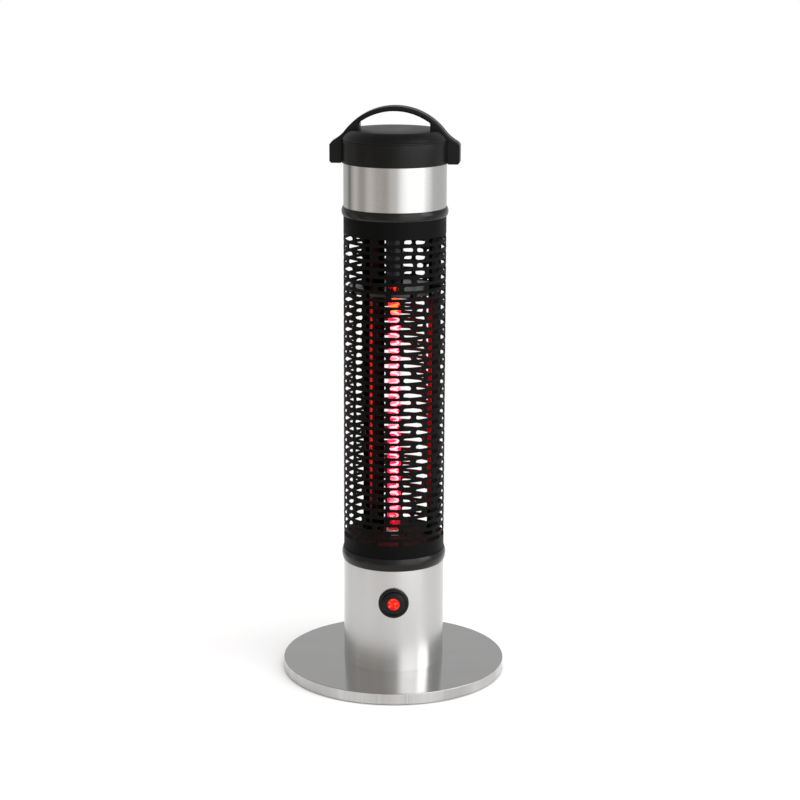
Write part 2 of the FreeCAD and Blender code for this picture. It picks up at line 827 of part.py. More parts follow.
def cap_skirt():
    """The lower half of the cap: a ring over the upper housing, with a floor to screw down."""
    inner_r = tube_r + slip
    shape = tube(cap_r_out, inner_r, cap_bottom, cap_seam)
    shape = shape.fuse(rod(inner_r + 0.5, cap_floor_z, cap_floor_z + 2.2))
    for p in cap_screw_points():
        shape = shape.cut(rod(2.1, cap_floor_z - 1, cap_floor_z + 4, p.x, p.y))
    return drill(shape, 1.6, cap_r_out - 6, cap_r_out + 3, handle_screw_places())


def lid_outline(grow):
    """The lid's outside, grown by a clearance: wall, sloping shoulder and slight crown."""
    r = cap_r_out - 0.2 + grow
    shoulder = V((r + lid_flat_r) / 2 + 0.7, 0, (lid_wall_top + lid_edge_z) / 2 + 0.7 + grow)
    return [
        line(V(0, 0, cap_seam), V(r, 0, cap_seam)),
        line(V(r, 0, cap_seam), V(r, 0, lid_wall_top)),
        arc(V(r, 0, lid_wall_top), shoulder, V(lid_flat_r, 0, lid_edge_z + grow)),
        line(V(lid_flat_r, 0, lid_edge_z + grow), V(lid_flat_r * 0.6, 0, lid_crown_z + grow)),
        line(V(lid_flat_r * 0.6, 0, lid_crown_z + grow), V(0, 0, lid_crown_z + grow)),
        line(V(0, 0, lid_crown_z + grow), V(0, 0, cap_seam)),
    ]


def cap_lid():
    """A hollow lid with a spigot that drops inside the skirt."""
    shape = turned_wire(lid_outline(0.0))
    hollow = [(0, cap_seam - 1), (cap_r_out - cap_wall - 0.2, cap_seam - 1),
              (lid_flat_r - 1.0, lid_edge_z - cap_wall), (0, lid_crown_z - cap_wall)]
    shape = shape.cut(turned(hollow))
    spigot_r = tube_r + slip - 0.05
    return shape.fuse(tube(spigot_r, spigot_r - 1.8, cap_seam - 5.0, cap_seam + 1.0))


ear_bottom = 586.6
ear_top = 607.0


def handle_side(sign):
    """Outer outline of one side, from the arch down to the bottom of the ear."""
    arch_r = handle_top - handle_circle_z
    join_x = 54.0
    join = V(sign * join_x, 0, handle_circle_z + math.sqrt(arch_r ** 2 - join_x ** 2))
    shoulder = V(sign * 69.0, 0, 610.4)
    corner = V(sign * ear_reach, 0, ear_top)
    foot_r = 2.0
    inside = sign * 45.0
    return [
        arc(join, V(sign * 61.4, 0, 615.6), shoulder),
        line(shoulder, corner),
        line(corner, V(sign * ear_reach, 0, ear_bottom + foot_r)),
        line(V(sign * ear_reach, 0, ear_bottom + foot_r), V(sign * (ear_reach - foot_r), 0, ear_bottom)),
        line(V(sign * (ear_reach - foot_r), 0, ear_bottom), V(inside, 0, ear_bottom)),
    ]


def handle_blank():
    """The handle before it is fitted over the cap: an arch with two ears, open in the middle."""
    arch_r = handle_top - handle_circle_z
    join_x = 54.0
    join_z = handle_circle_z + math.sqrt(arch_r ** 2 - join_x ** 2)
    right = handle_side(1)
    left = handle_side(-1)
    top = arc(V(-join_x, 0, join_z), V(0, 0, handle_top), V(join_x, 0, join_z))
    bottom = line(V(45.0, 0, ear_bottom), V(-45.0, 0, ear_bottom))
    wire = Part.Wire(Part.__sortEdges__([top] + right + left + [bottom]))
    body = Part.Face(wire).extrude(V(0, 2 * handle_half_width, 0))
    body.translate(V(0, -handle_half_width, 0))
    hole_top = handle_hole_z + handle_hole_r
    corner_x = handle_hole_half - 3.0
    corner_z = handle_hole_z + math.sqrt(handle_hole_r ** 2 - corner_x ** 2)
    side_x = handle_hole_half
    floor = 600.0
    bend_z = corner_z - 4.0
    edges = [
        arc(V(-corner_x, 0, corner_z), V(0, 0, hole_top), V(corner_x, 0, corner_z)),
        arc(V(corner_x, 0, corner_z), V(side_x - 0.5, 0, corner_z - 1.9), V(side_x, 0, bend_z)),
        line(V(side_x, 0, bend_z), V(side_x, 0, floor)),
        line(V(side_x, 0, floor), V(-side_x, 0, floor)),
        line(V(-side_x, 0, floor), V(-side_x, 0, bend_z)),
        arc(V(-side_x, 0, bend_z), V(-side_x + 0.5, 0, corner_z - 1.9), V(-corner_x, 0, corner_z)),
    ]
    hole = Part.Face(Part.Wire(edges)).extrude(V(0, 4 * handle_half_width, 0))
    hole.translate(V(0, -2 * handle_half_width, 0))
    return body.cut(hole)


def handle():
    shape = handle_blank()
    rounded = [e for e in shape.Edges
               if abs(abs(e.CenterOfMass.y) - handle_half_width) < 0.01 and e.BoundBox.ZMin > 608.0]
    shape = shape.makeFillet(1.8, rounded)
    shape = shape.cut(rod(cap_r_out + slip, ear_bottom - 5, cap_seam + slip))
    shape = shape.cut(turned_wire(lid_outline(slip)))
    shape = spun(shape, cap_turn_deg)
    return drill(shape, 1.5, cap_r_out - 2, cap_r_out + 7, handle_screw_places())


def handle_screws():
    """Driven outwards from inside the cap into the ears."""
    screws = []
    for angle, z in handle_screw_places():
        seat = tube_r - 0.4
        head = Part.makeCylinder(3.0, 1.6, polar(seat - 1.6, angle, z), outward(angle))
        shank = Part.makeCylinder(1.5, 9.0, polar(seat, angle, z), outward(angle))
        screws.append(head.fuse(shank))
    return Part.makeCompound(screws)


def cap_bracket():
    """A ring with a turned-down rim inside the upper housing, which the cap screws into."""
    top = cap_floor_z
    shape = tube(pan_r, cap_screw_circle - 8.0, top - 1.6, top)
    shape = shape.fuse(tube(pan_r, pan_r - 1.6, top - 22.0, top))
    for p in cap_screw_points():
        shape = shape.cut(rod(1.8, top - 3, top + 1, p.x, p.y))
    return drill(shape, 1.9, pan_r - 5, pan_r + 5, side_places(cap_bottom - 9.0))


def cap_screws():
    return Part.makeCompound([upright_screw(p.x, p.y, cap_floor_z + 2.2, 1.8, 8.0, 3.6, 2.2, up=False)
                              for p in cap_screw_points()])


def side_screws():
    """The small screws round the back that hold housings and guard to their inner rims."""
    screws = []
    for z in (housing_screw_z, guard_screw_low, guard_screw_high, cap_bottom - 9.0):
        for angle in side_screw_angles:
            screws.append(radial_screw(angle, z, tube_r))
    return Part.makeCompound(screws)


def insulation_pad():
    """A mineral fibre disc that rests on the web of the upper trim ring."""
    bottom = upper_ring_z[0] + 4.0 + web_t
    return rod(tube_r - sheet_t - 0.6, bottom, bottom + 10.0)


nodes = {
    "base_cover": base_cover,
    "base_ballast": base_ballast,
    "base_bottom_plate": base_bottom_plate,
    "rubber_feet": rubber_feet,
    "base_screws": base_screws,
    "column_flange": column_flange,
    "lower_housing": lower_housing,
    "lower_trim_ring": lower_trim_ring,
    "lower_pan": lower_pan,
    "guard_tube": guard_tube,
    "upper_pan": upper_pan,
    "upper_trim_ring": upper_trim_ring,
    "upper_housing": upper_housing,
    "side_screws": side_screws,
    "left_stay": lambda: stay(left_place),
    "right_stay": lambda: stay(right_place),
    "stay_screws": stay_screws,
    "heat_shield": heat_shield,
    "shield_clips": shield_clips,
    "quartz_tube": quartz_tube,
    "heating_coil": heating_coil,
    "lower_lamp_cap": lower_lamp_cap,
    "upper_lamp_cap": upper_lamp_cap,
    "lower_lamp_holder": lower_lamp_holder,
    "upper_lamp_holder": upper_lamp_holder,
    "holder_screws": holder_screws,
    "return_lead": return_lead,
    "lamp_lead": lamp_lead,
    "switch_leads": switch_leads,
    "terminal_bracket": terminal_bracket,
    "terminal_block": terminal_block,
    "terminal_screws": terminal_screws,
    "switch_bezel": switch_bezel,
    "switch_body": switch_body,
    "switch_nut": switch_nut,
    "switch_terminals": switch_terminals,
    "indicator_lamp": indicator_lamp,
    "power_button": power_button,
    "button_lens": button_lens,
    "button_spring": button_spring,
    "tip_switch_case": tip_switch_case,
    "tip_pin": tip_pin,
    "tip_pendulum": tip_pendulum,
    "tip_contact_block": tip_contact_block,
    "cable_gland": cable_gland,
    "gland_seal": gland_seal,
    "gland_dome_nut": gland_dome_nut,
    "gland_lock_nut": gland_lock_nut,
    "cap_bracket": cap_bracket,
    "cap_skirt": cap_skirt,
    "cap_screws": cap_screws,
    "cap_lid": cap_lid,
    "handle": handle,
    "handle_screws": handle_screws,
    "insulation_pad": insulation_pad,
}

os.makedirs("parts", exist_ok=True)
for node, make in nodes.items():
    save(node, make())
    print(node)
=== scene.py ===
import math

import bmesh
import bpy
from mathutils import Matrix, Vector


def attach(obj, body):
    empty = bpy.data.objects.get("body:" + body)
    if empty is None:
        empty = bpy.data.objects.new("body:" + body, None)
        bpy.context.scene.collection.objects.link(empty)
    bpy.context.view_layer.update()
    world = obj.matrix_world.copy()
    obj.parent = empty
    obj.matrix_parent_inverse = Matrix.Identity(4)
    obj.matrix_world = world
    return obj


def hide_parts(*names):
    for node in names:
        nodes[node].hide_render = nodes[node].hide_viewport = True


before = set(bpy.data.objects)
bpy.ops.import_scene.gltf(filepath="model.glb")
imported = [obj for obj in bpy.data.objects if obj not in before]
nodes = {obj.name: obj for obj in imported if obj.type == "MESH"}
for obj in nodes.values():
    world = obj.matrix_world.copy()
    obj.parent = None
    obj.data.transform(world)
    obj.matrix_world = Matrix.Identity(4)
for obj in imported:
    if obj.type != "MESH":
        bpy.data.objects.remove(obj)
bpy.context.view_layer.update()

# Electric outdoor heater. Metres, +Z up, the front with the switch towards -Y.
# Angles round the column are degrees from the front, positive towards +X.

MM = 0.001
TUBE_R = 57.15 * MM
SHEET = 1.0 * MM
BASE_R = 127.0 * MM
RIGHT_STAY = (40.0 * MM, 7.05 * MM)    # centre of its gutter
STAY_R = 12.0 * MM
STAY_SHEET = 1.2 * MM
LAMP_LOW, LAMP_HIGH = 0.150, 0.476     # the quartz tube's ends
COIL_LOW, COIL_HIGH = 0.179, 0.434     # the wound part of the filament
FULL_TURN = 2 * math.pi


# ---------------------------------------------------------------- node helpers

def new_material(name, colour, roughness, metallic=0.0):
    mat = bpy.data.materials.new(name)
    mat.use_nodes = True
    shader = mat.node_tree.nodes["Principled BSDF"]
    shader.inputs["Base Color"].default_value = (*colour, 1.0)
    shader.inputs["Roughness"].default_value = roughness
    shader.inputs["Metallic"].default_value = metallic
    return mat, mat.node_tree, shader


def math_node(tree, operation, a, b=None):
    """One arithmetic node; each input is a number or another node's output."""
    node = tree.nodes.new("ShaderNodeMath")
    node.operation = operation
    for socket, value in zip(node.inputs, (a, b)):
        if value is None:
            continue
        if isinstance(value, (int, float)):
            socket.default_value = value
        else:
            tree.links.new(value, socket)
    return node.outputs[0]


def object_xyz(tree):
    coord = tree.nodes.new("ShaderNodeTexCoord")
    split = tree.nodes.new("ShaderNodeSeparateXYZ")
    tree.links.new(coord.outputs["Object"], split.inputs[0])
    return split.outputs[0], split.outputs[1], split.outputs[2]


def joined(tree, x, y, z):
    node = tree.nodes.new("ShaderNodeCombineXYZ")
    for socket, value in zip(node.inputs, (x, y, z)):
        tree.links.new(value, socket)
    return node.outputs[0]


def radius_from(tree, x, y, centre=None):
    """Distance from the column's axis, or from another upright axis."""
    if centre:
        x = math_node(tree, "SUBTRACT", x, centre[0])
        y = math_node(tree, "SUBTRACT", y, centre[1])
    xx = math_node(tree, "MULTIPLY", x, x)
    yy = math_node(tree, "MULTIPLY", y, y)
    return math_node(tree, "SQRT", math_node(tree, "ADD", xx, yy))


def noise(tree, vector, scale, detail=3.0, roughness=0.55):
    node = tree.nodes.new("ShaderNodeTexNoise")
    node.inputs["Scale"].default_value = scale
    node.inputs["Detail"].default_value = detail
    node.inputs["Roughness"].default_value = roughness
    tree.links.new(vector, node.inputs["Vector"])
    return node.outputs["Fac"]


def object_noise(tree, scale, detail=3.0):
    coord = tree.nodes.new("ShaderNodeTexCoord")
    return noise(tree, coord.outputs["Object"], scale, detail)


def spread(tree, value, low, high, source=(0.3, 0.7)):
    """Map a texture value on to a range of numbers."""
    node = tree.nodes.new("ShaderNodeMapRange")
    node.inputs["From Min"].default_value = source[0]
    node.inputs["From Max"].default_value = source[1]
    node.inputs["To Min"].default_value = low
    node.inputs["To Max"].default_value = high
    tree.links.new(value, node.inputs["Value"])
    return node.outputs[0]


def colours(tree, value, stops):
    """A colour ramp of (position, rgb) stops."""
    node = tree.nodes.new("ShaderNodeValToRGB")
    ramp = node.color_ramp
    while len(ramp.elements) < len(stops):
        ramp.elements.new(0.5)
    for element, (position, rgb) in zip(ramp.elements, stops):
        element.position = position
        element.color = (*rgb, 1.0)
    tree.links.new(value, node.inputs[0])
    return node.outputs["Color"]


def mix(tree, factor, first, second):
    """Blend two colours; the second may be plain rgb."""
    node = tree.nodes.new("ShaderNodeMix")
    node.data_type = "RGBA"
    tree.links.new(factor, node.inputs["Factor"])
    tree.links.new(first, node.inputs[6])
    if isinstance(second, tuple):
        node.inputs[7].default_value = (*second, 1.0)
    else:
        tree.links.new(second, node.inputs[7])
    return node.outputs[2]


def away_from_lamp(tree, z):
    """0 beside the glowing length of the lamp, 1 above the heat shield and at the very bottom: where
    the painted glow stops.
    """
    black = (0, 0, 0)
    white = (1, 1, 1)
    height = spread(tree, z, 0.0, 1.0, (0.150, 0.500))
    return colours(tree, height, [(0.10, white), (0.24, black), (0.74, black), (0.83, white)])


def bump(tree, shader, height, strength, depth):
    node = tree.nodes.new("ShaderNodeBump")
    node.inputs["Strength"].default_value = strength
    node.inputs["Distance"].default_value = depth
    tree.links.new(height, node.inputs["Height"])
    tree.links.new(node.outputs["Normal"], shader.inputs["Normal"])


def grey(level, warm=0.0):
    """A grey, with red raised and blue lowered by the share warm."""
    return (level * (1 + warm), level, level * (1 - warm))


# ---------------------------------------------------------------- finishes

HAIR_LINES = 2600.0        # noise cells per metre across the brushing


def brushed_steel(name, round_column, level=0.53, rough=(0.19, 0.29), aniso=0.75):
    """Steel with hair lines: round the column, or straight across the flat base."""
    mat, tree, shader = new_material(name, grey(level), 0.3, 1.0)
    x, y, z = object_xyz(tree)
    tangent = tree.nodes.new("ShaderNodeTangent")
    tangent.direction_type = "RADIAL"
    rim = None
    if round_column:
        tangent.axis = "Z"
        shader.inputs["Anisotropic Rotation"].default_value = 0.25
        turn = math_node(tree, "ARCTAN2", x, math_node(tree, "MULTIPLY", y, -1.0))
        along = math_node(tree, "MULTIPLY", turn, 2.4)
        across = math_node(tree, "MULTIPLY", z, HAIR_LINES)
        soft = math_node(tree, "MULTIPLY", turn, 3.0)
        flat = math_node(tree, "MULTIPLY", z, 5.0)
    else:
        rim = spread(tree, radius_from(tree, x, y), 0.0, 0.36, (BASE_R - 0.7 * MM, BASE_R - 0.1 * MM))
        tangent.axis = "X"
        along = math_node(tree, "MULTIPLY", x, 40.0)
        across = math_node(tree, "MULTIPLY", y, HAIR_LINES)
        soft = math_node(tree, "MULTIPLY", x, 9.0)
        flat = math_node(tree, "MULTIPLY", y, 30.0)
    shader.inputs["Anisotropic"].default_value = aniso
    tree.links.new(tangent.outputs[0], shader.inputs["Tangent"])
    lines = noise(tree, joined(tree, along, across, z), 1.0, 4.0, 0.6)
    clouds = noise(tree, joined(tree, soft, flat, z), 1.0, 2.0, 0.5)
    blend = math_node(tree, "ADD", math_node(tree, "MULTIPLY", lines, 0.45),
                      math_node(tree, "MULTIPLY", clouds, 0.55))
    if rim is not None:
        # The turned edge of the dish is painted darker than its face: painted shade.
        blend = math_node(tree, "SUBTRACT", blend, rim)
    tint = colours(tree, blend, [(0.05, grey(level * 0.66, 0.012)), (0.25, grey(level * 0.92, 0.010)),
                                 (0.75, grey(level * 1.06, 0.006))])
    tree.links.new(tint, shader.inputs["Base Color"])
    tree.links.new(spread(tree, blend, rough[0], rough[1]), shader.inputs["Roughness"])
    bump(tree, shader, lines, 0.03, 0.00002)
    return mat


def coated(name, level, rough, grain, grain_depth, strength=0.35, warm=0.0, specular=0.5):
    """Painted or moulded surface: fine grain, slight unevenness of tone and gloss."""
    mat, tree, shader = new_material(name, grey(level, warm), sum(rough) / 2)
    shader.inputs["Specular IOR Level"].default_value = specular
    fine = object_noise(tree, grain, 4.0)
    broad = object_noise(tree, 28.0, 2.0)
    tint = colours(tree, broad, [(0.3, grey(level * 0.8, warm)), (0.7, grey(level * 1.25, warm))])
    tree.links.new(tint, shader.inputs["Base Color"])
    tree.links.new(spread(tree, broad, rough[0], rough[1]), shader.inputs["Roughness"])
    bump(tree, shader, fine, strength, grain_depth)
    return mat


def guard_paint():
    """Matt black outside; inside, the coat is painted a lighter grey so that it shows more of the
    lamp's glow: painted light.
    """
    mat = coated("guard_paint", 0.0025, (0.42, 0.55), 1400.0, 0.00005, specular=0.06)
    tree = mat.node_tree
    x, y, _ = object_xyz(tree)
    inner = TUBE_R - SHEET
    depth = spread(tree, radius_from(tree, x, y), 0.0, 1.0, (inner, inner + 0.7 * SHEET))
    patches = math_node(tree, "MULTIPLY", object_noise(tree, 60.0, 2.0), 0.1)
    # Painted light: the inner face is a lighter grey than the outside.
    tint = colours(tree, math_node(tree, "ADD", depth, patches),
                   [(0.05, grey(0.028)), (0.35, grey(0.012)), (0.9, grey(0.0025))])
    tree.links.new(tint, tree.nodes["Principled BSDF"].inputs["Base Color"])
    return mat


def plated(name, rgb, rough, mottling=160.0):
    """Bare or plated metal with a slight mottle."""
    mat, tree, shader = new_material(name, rgb, sum(rough) / 2, 1.0)
    spots = object_noise(tree, mottling, 4.0)
    dark = tuple(c * 0.82 for c in rgb)
    tree.links.new(colours(tree, spots, [(0.3, dark), (0.7, rgb)]), shader.inputs["Base Color"])
    tree.links.new(spread(tree, spots, rough[0], rough[1]), shader.inputs["Roughness"])
    bump(tree, shader, object_noise(tree, 1500.0, 2.0), 0.1, 0.00003)
    return mat


def chalky(name, rgb, rough, scale, depth, dark=0.8):
    """Ceramic, woven sleeve or fibre: diffuse, with pits or threads."""
    mat, tree, shader = new_material(name, rgb, rough)
    pits = object_noise(tree, scale, 5.0)
    shade = tuple(c * dark for c in rgb)
    tree.links.new(colours(tree, pits, [(0.35, shade), (0.65, rgb)]), shader.inputs["Base Color"])
    bump(tree, shader, pits, 0.5, depth)
    return mat


def lit_gutter():
    """The right stay's sheet: near-black outside, with a painted dull red glow on the hollow side that
    faces the lamp.
    """
    near_black = (0.004, 0.003, 0.003)
    mat, tree, shader = new_material("gutter_with_painted_glow", near_black, 0.5)
    shader.inputs["Specular IOR Level"].default_value = 0.12
    x, y, z = object_xyz(tree)
    radius = radius_from(tree, x, y, RIGHT_STAY)
    inner = STAY_R - STAY_SHEET
    depth = spread(tree, radius, 0.0, 1.0, (inner, inner + 0.6 * STAY_SHEET))
    patches = math_node(tree, "MULTIPLY", object_noise(tree, 70.0, 3.0), 0.12)
    # Painted glow: dull red at the hollow face, fading across the sheet; near-black away from the
    # lamp's glowing length.
    tint = colours(tree, math_node(tree, "ADD", depth, patches), [
        (0.1, (0.30, 0.004, 0.002)), (0.3, (0.10, 0.003, 0.002)), (0.9, near_black)])
    tint = mix(tree, away_from_lamp(tree, z), tint, near_black)
    tree.links.new(tint, shader.inputs["Base Color"])
    return mat


def glowing_wire():
    """The filament: pinkish white, orange where it is cooler at the top, dark at its foot."""
    mat, tree, shader = new_material("glowing_filament", (0.35, 0.08, 0.05), 0.6)
    height = spread(tree, object_xyz(tree)[2], 0.0, 1.0, (0.175, 0.437))
    hue = colours(tree, height, [
        (0.0, (0.03, 0.0, 0.0)), (0.04, (0.2, 0.002, 0.003)), (0.07, (1.0, 0.062, 0.076)),
        (0.5, (1.0, 0.076, 0.092)),
        (0.9, (1.0, 0.070, 0.078)), (0.94, (1.0, 0.040, 0.006)), (1.0, (1.0, 0.012, 0.001))])
    tree.links.new(hue, shader.inputs["Emission Color"])
    patches = object_noise(tree, 220.0, 2.0)
    strength = spread(tree, patches, 17.0, 25.0)
    tree.links.new(strength, shader.inputs["Emission Strength"])
    return mat


def quartz():
    """Quartz tube lit from inside: clear, with a red glow in the glass."""
    mat, tree, shader = new_material("lit_quartz", (0.5, 0.02, 0.03), 0.06)
    height = spread(tree, object_xyz(tree)[2], 0.0, 1.0, (LAMP_LOW, LAMP_HIGH))
    glow = colours(tree, height, [
        (0.0, (0.02, 0.0, 0.0)), (0.07, (0.2, 0.002, 0.004)), (0.12, (1.0, 0.010, 0.10)),
        (0.8, (1.0, 0.010, 0.10)), (0.87, (0.6, 0.04, 0.006)), (0.93, (0.02, 0.002, 0.0))])
    tree.links.new(glow, shader.inputs["Emission Color"])
    shader.inputs["Emission Strength"].default_value = 1.5
    shader.inputs["Alpha"].default_value = 0.26
    haze = object_noise(tree, 300.0, 3.0)
    tree.links.new(spread(tree, haze, 0.03, 0.12), shader.inputs["Roughness"])
    return mat


def red_lens():
    """Moulded red lens with a faceted back, lit by the neon."""
    mat, tree, shader = new_material("red_lens_lit", (0.30, 0.002, 0.002), 0.18)
    coord = tree.nodes.new("ShaderNodeTexCoord")
    cells = tree.nodes.new("ShaderNodeTexVoronoi")
    cells.inputs["Scale"].default_value = 480.0
    tree.links.new(coord.outputs["Object"], cells.inputs["Vector"])
    split = tree.nodes.new("ShaderNodeSeparateColor")
    tree.links.new(cells.outputs["Color"], split.inputs[0])
    glow = colours(tree, split.outputs[0], [
        (0.0, (0.55, 0.0, 0.0)), (0.3, (0.90, 0.0, 0.0)), (0.6, (1.0, 0.002, 0.001)),
        (0.82, (1.0, 0.05, 0.01)), (0.95, (1.0, 0.16, 0.06))])
    tree.links.new(glow, shader.inputs["Emission Color"])
    shader.inputs["Emission Strength"].default_value = 0.8
    shader.inputs["Specular IOR Level"].default_value = 0.15
    bump(tree, shader, cells.outputs["Distance"], 0.6, 0.0004)
    return mat


def sleeve_with_painted_glow():
    """The return lead's woven sleeve, with a painted red glow beside the lamp's glowing length and
    painted shade above the heat shield and at the very bottom.
    """
    # Painted glow: the woven sleeve is coloured red where the lamp's light falls on it.
    mat = chalky("sleeve_with_painted_glow", (0.55, 0.010, 0.004), 0.6, 1600.0, 0.0003, 0.6)
    tree = mat.node_tree
    socket = tree.nodes["Principled BSDF"].inputs["Base Color"]
    woven = socket.links[0].from_socket
    fade = away_from_lamp(tree, object_xyz(tree)[2])
    # Painted shade: near-black above the heat shield and at the very bottom.
    tree.links.new(mix(tree, fade, woven, (0.010, 0.005, 0.005)), socket)
    return mat


def neon():
    """The glowing bulb behind the lens."""
    mat, tree, shader = new_material("neon_bulb", (0.9, 0.3, 0.15), 0.15)
    tone = object_noise(tree, 400.0, 2.0)
    tree.links.new(colours(tree, tone, [(0.3, (1.0, 0.12, 0.03)), (0.7, (1.0, 0.25, 0.08))]),
                   shader.inputs["Emission Color"])
    shader.inputs["Emission Strength"].default_value = 2.0
    return mat


finishes = {
    "brushed_stainless": brushed_steel("brushed_column", True),
    "black_guard": guard_paint(),
    "black_plastic": coated("cap_plastic", 0.003, (0.30, 0.38), 1900.0, 0.00004, specular=0.20),
    "black_ring": coated("ring_enamel", 0.002, (0.18, 0.24), 900.0, 0.00002, specular=0.30),
    "zinc_steel": plated("zinc_plate", (0.56, 0.56, 0.55), (0.22, 0.38)),
    "cast_weight": coated("cast_iron", 0.07, (0.6, 0.8), 500.0, 0.0003, 0.8, 0.03),
    "black_rubber": coated("rubber", 0.018, (0.7, 0.85), 700.0, 0.0001, 0.6),
    "quartz": quartz(),
    "glowing_coil": glowing_wire(),
    "white_ceramic": chalky("steatite", (0.78, 0.76, 0.71), 0.5, 900.0, 0.0001, 0.88),
    "lead_sleeve": chalky("glass_sleeve", (0.62, 0.60, 0.55), 0.8, 1600.0, 0.0003, 0.6),
    "switch_black": coated("switch_nylon", 0.003, (0.22, 0.32), 2200.0, 0.00003, 0.3, specular=0.22),
    "red_lens": red_lens(),
    "neon": neon(),
    "brass_contact": plated("brass", (0.72, 0.52, 0.22), (0.2, 0.35)),
    "spring_steel": plated("spring_wire", (0.48, 0.48, 0.50), (0.15, 0.3)),
    "mineral_fibre": chalky("fibre_felt", (0.66, 0.62, 0.53), 0.95, 420.0, 0.001, 0.6),
}
base_steel = brushed_steel("brushed_base", False, 0.64, (0.14, 0.22), 0.80)
inner_steel = plated("blued_sheet", (0.040, 0.040, 0.042), (0.14, 0.24), 90.0)
# The left stay's dark red tint is a painted red cast from the lamp's glow.
stay_steel = plated("stay_with_painted_red_cast", (0.030, 0.0045, 0.006), (0.14, 0.22), 90.0)
open_stay = lit_gutter()
pan_paint = coated("pan_paint", 0.010, (0.55, 0.7), 600.0, 0.0001, 0.5, specular=0.10)

for node in nodes.values():
    for slot in node.material_slots:
        slot.material = finishes[slot.material.name.split(".")[0]]

inside = {
    "left_stay": stay_steel, "right_stay": open_stay, "return_lead": sleeve_with_painted_glow(),
    "heat_shield": inner_steel, "shield_clips": inner_steel, "upper_lamp_holder": inner_steel,
    "lower_pan": pan_paint, "upper_pan": pan_paint, "stay_screws": pan_paint,
    "holder_screws": pan_paint,
}
for name, material in inside.items():
    for slot in nodes[name].material_slots:
        slot.material = material


# ---------------------------------------------------------------- mesh helpers

def finish_mesh(name, mesh, material, body, replaced):
    """Add a piece that rides on a body and stands in for some nodes of the solid model."""
    mesh.materials.append(material)
    mesh.set_sharp_from_angle(angle=math.radians(32))
    piece = bpy.data.objects.new(name, mesh)
    bpy.context.scene.collection.objects.link(piece)
    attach(piece, body)
    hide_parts(*replaced)


def mesh_of(name, points, faces, merge=0.0):
    """A smooth-shaded mesh with its faces turned outwards."""
    grid = bmesh.new()
    made = [grid.verts.new(p) for p in points]
    for face in faces:
        grid.faces.new([made[i] for i in face])
    if merge > 0:
        bmesh.ops.remove_doubles(grid, verts=grid.verts, dist=merge)
    bmesh.ops.recalc_face_normals(grid, faces=grid.faces)
    for face in grid.faces:
        face.smooth = True
    mesh = bpy.data.meshes.new(name)
    grid.to_mesh(mesh)
    grid.free()
    return mesh


def rounded(corners, steps=4):
    """Round the corners of a closed (radius, height, fillet) outline; all in metres."""
    outline = []
    count = len(corners)
    for i, (r, z, fillet) in enumerate(corners):
        here = Vector((r, z))
        if fillet <= 0:
            outline.append(here)
            continue
        back = (Vector(corners[i - 1][:2]) - here).normalized()
        ahead = (Vector(corners[(i + 1) % count][:2]) - here).normalized()
        half = back.angle(ahead) / 2
        start = here + back * (fillet / math.tan(half))
        centre = here + (back + ahead).normalized() * (fillet / math.sin(half))
        end = here + ahead * (fillet / math.tan(half))
        for k in range(steps + 1):
            way = start.lerp(end, k / steps)
            outline.append(centre + (way - centre).normalized() * fillet)
    return outline


def lathe(name, outline, segments=192):
    """Turn a closed outline about the column's axis. Points on the axis become one vertex."""
    points = []
    rings = []
    for r, z in outline:
        if r < 1e-6:
            points.append((0, 0, z))
            rings.append([len(points) - 1] * segments)
            continue
        start = len(points)
        for k in range(segments):
            a = FULL_TURN * k / segments
            points.append((r * math.sin(a), -r * math.cos(a), z))
        rings.append(list(range(start, start + segments)))
    faces = []
    for i, ring in enumerate(rings):
        after = rings[(i + 1) % len(rings)]
        if ring[0] == ring[1] and after[0] == after[1]:
            continue
        for k in range(segments):
            j = (k + 1) % segments
            corners = []
            for index in (ring[k], ring[j], after[j], after[k]):
                if index not in corners:
                    corners.append(index)
            faces.append(corners)
    return mesh_of(name, points, faces)


def swept(name, path, radius, sides=8):
    """A round wire along a list of points."""
    points = []
    count = len(path)
    normal = Vector((0, 0, 1))
    for i, p in enumerate(path):
        tangent = (path[min(i + 1, count - 1)] - path[max(i - 1, 0)]).normalized()
        side = tangent.cross(normal)
        if side.length < 1e-3:
            side = tangent.cross(Vector((1, 0, 0)))
        side.normalize()
        normal = side.cross(tangent).normalized()
        for k in range(sides):
            a = FULL_TURN * k / sides
            points.append(p + (side * math.cos(a) + normal * math.sin(a)) * radius)
    faces = []
    for i in range(count - 1):
        for k in range(sides):
            j = (k + 1) % sides
            faces.append((i * sides + k, i * sides + j, (i + 1) * sides + j, (i + 1) * sides + k))
    faces.append(list(range(sides)))
    faces.append(list(range((count - 1) * sides, count * sides)))
    return mesh_of(name, points, faces)


# ---------------------------------------------------------------- guard tube

SLOTS = 12
ROWS = 41
PITCH = 8.543 * MM
FIRST_ROW = 164.7 * MM
PHASE = 22.86              # angle of a slot in the lowest row
SLOT_HALF = 2.475 * MM     # half a slot's height
SLOT_REACH = 9.925 * MM    # half the length of its straight sides
EASED = 0.18 * MM          # size of the eased outer edge
STEPS = 12
END_STEPS = 6
GUARD_LOW = 139.5 * MM
GUARD_HIGH = 532.8 * MM


def on_tube(radius, offset, z, turn):
    """A point at a sideways offset from the middle of a slot that is turned round the column."""
    depth = math.sqrt(radius ** 2 - offset ** 2)
    a = math.radians(turn)
    x = depth * math.sin(a) + offset * math.cos(a)
    y = -depth * math.cos(a) + offset * math.sin(a)
    return (x, y, z)


def cell_edge(radius, z, turn):
    """The outline of a slot's share of the tube."""
    step = 180.0 / SLOTS
    height = PITCH / 2
    loop = [(-step + 2 * step * k / STEPS, height) for k in range(STEPS + 1)]
    loop += [(step, height - PITCH * k / END_STEPS) for k in range(1, END_STEPS)]
    loop += [(step - 2 * step * k / STEPS, -height) for k in range(STEPS + 1)]
    loop += [(-step, -height + PITCH * k / END_STEPS) for k in range(1, END_STEPS)]
    return [on_tube(radius, 0.0, z + h, turn + u) for u, h in loop]


